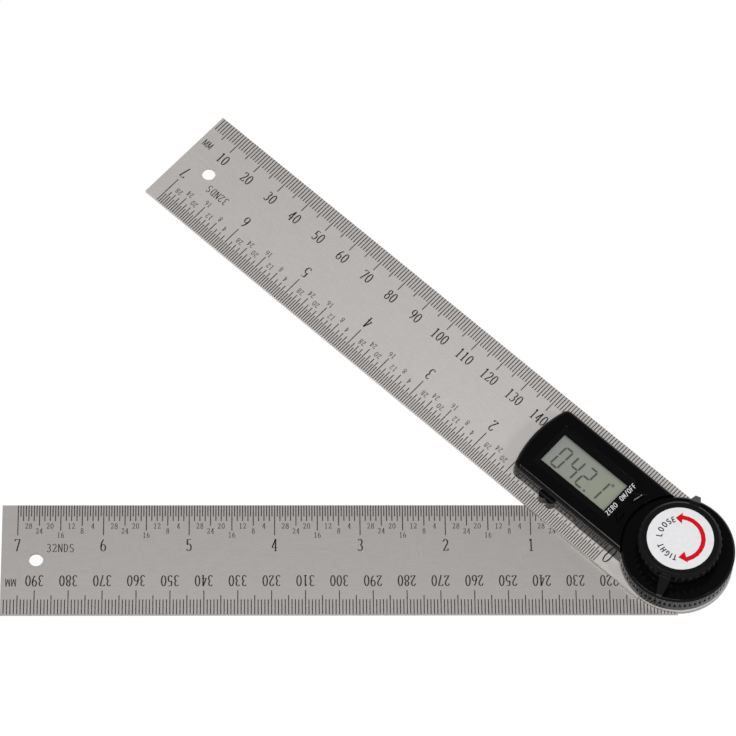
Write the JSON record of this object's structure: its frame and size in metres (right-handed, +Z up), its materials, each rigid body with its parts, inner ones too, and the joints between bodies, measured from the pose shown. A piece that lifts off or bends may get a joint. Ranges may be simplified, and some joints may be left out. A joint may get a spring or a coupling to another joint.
{
  "type": "digital angle rule",
  "caption": "Digital angle rule: steel rules joined at a pivot, with an angle display, push keys, a battery drawer and a screw-down lock knob.",
  "frame": {"origin": "on the pivot axis, in the plane of the hub flange's underside that the rule rests on", "axes": "+Z up along the pivot axis through the lock knob; the lower rule runs along -X; the upper rule is open by 42.75 degrees towards +Y"},
  "size_m": [0.2171, 0.1661, 0.0174],
  "materials": {
    "rule_steel": "satin brushed stainless steel with etched scales",
    "turned_steel": "turned steel",
    "brass": "turned brass",
    "gloss_black": "moulded glossy black",
    "satin_black": "moulded satin black",
    "clear_window": "clear with a printed black border",
    "display_glass": "grey-green liquid crystal panel",
    "strip_rubber": "striped conductive rubber",
    "board": "green circuit board",
    "chip": "black epoxy",
    "spring_steel": "sprung steel leaf",
    "screw_steel": "zinc plated",
    "cell_nickel": "nickel plated",
    "nylon": "natural nylon",
    "label_white": "printed white label"
  },
  "bodies": {
    "lower_rule": {"lower_blade": "rule_steel", "pivot_hub": "turned_steel", "friction_washer": "nylon", "rotor_disc": "board", "rotor_nut": "brass"},
    "upper_rule": {"upper_blade": "rule_steel", "pivot_bush": "brass", "housing": "gloss_black", "display_window": "clear_window", "display_panel": "display_glass", "contact_strips": "strip_rubber", "circuit_board": "board", "processor_chip": "chip", "on_off_dome": "spring_steel", "zero_dome": "spring_steel", "positive_contact": "spring_steel", "negative_contact": "spring_steel", "housing_screws": "screw_steel"},
    "on_off_button": {"on_off_key": "gloss_black"},
    "zero_button": {"zero_key": "gloss_black"},
    "drawer": {"battery_drawer": "gloss_black", "coin_cell": "cell_nickel"},
    "screw_lift": {"thrust_washer": "screw_steel"},
    "knob": {"lock_knob": "satin_black", "knob_insert": "brass", "knob_label": "label_white"}
  },
  "joints": [
    {"name": "blade_pivot", "type": "hinge", "parent": "lower_rule", "child": "upper_rule", "pos_m": [0, 0, 0], "axis": [0, 0, 1], "continuous": true},
    {"name": "on_off_press", "type": "slide", "parent": "upper_rule", "child": "on_off_button", "axis": [0, 0, -1], "range_m": [0, 0.00035], "stiffness_N_per_m": 3000, "deforming": ["on_off_dome"]},
    {"name": "zero_press", "type": "slide", "parent": "upper_rule", "child": "zero_button", "axis": [0, 0, -1], "range_m": [0, 0.00035], "stiffness_N_per_m": 3000, "deforming": ["zero_dome"]},
    {"name": "drawer_slide", "type": "slide", "parent": "upper_rule", "child": "drawer", "axis": [-0.6788, -0.7343, 0], "range_m": [0, 0.022]},
    {"name": "knob_lift", "type": "slide", "parent": "lower_rule", "child": "screw_lift", "axis": [0, 0, 1], "range_m": [0, 0.00075]},
    {"name": "knob_turn", "type": "hinge", "parent": "screw_lift", "child": "knob", "pos_m": [0, 0, 0], "axis": [0, 0, 1], "range_deg": [0, 270]}
  ],
  "couplings": [
    {"joint": "knob_lift", "follows": "knob_turn", "m_per_rad": 0.00015915}
  ]
}
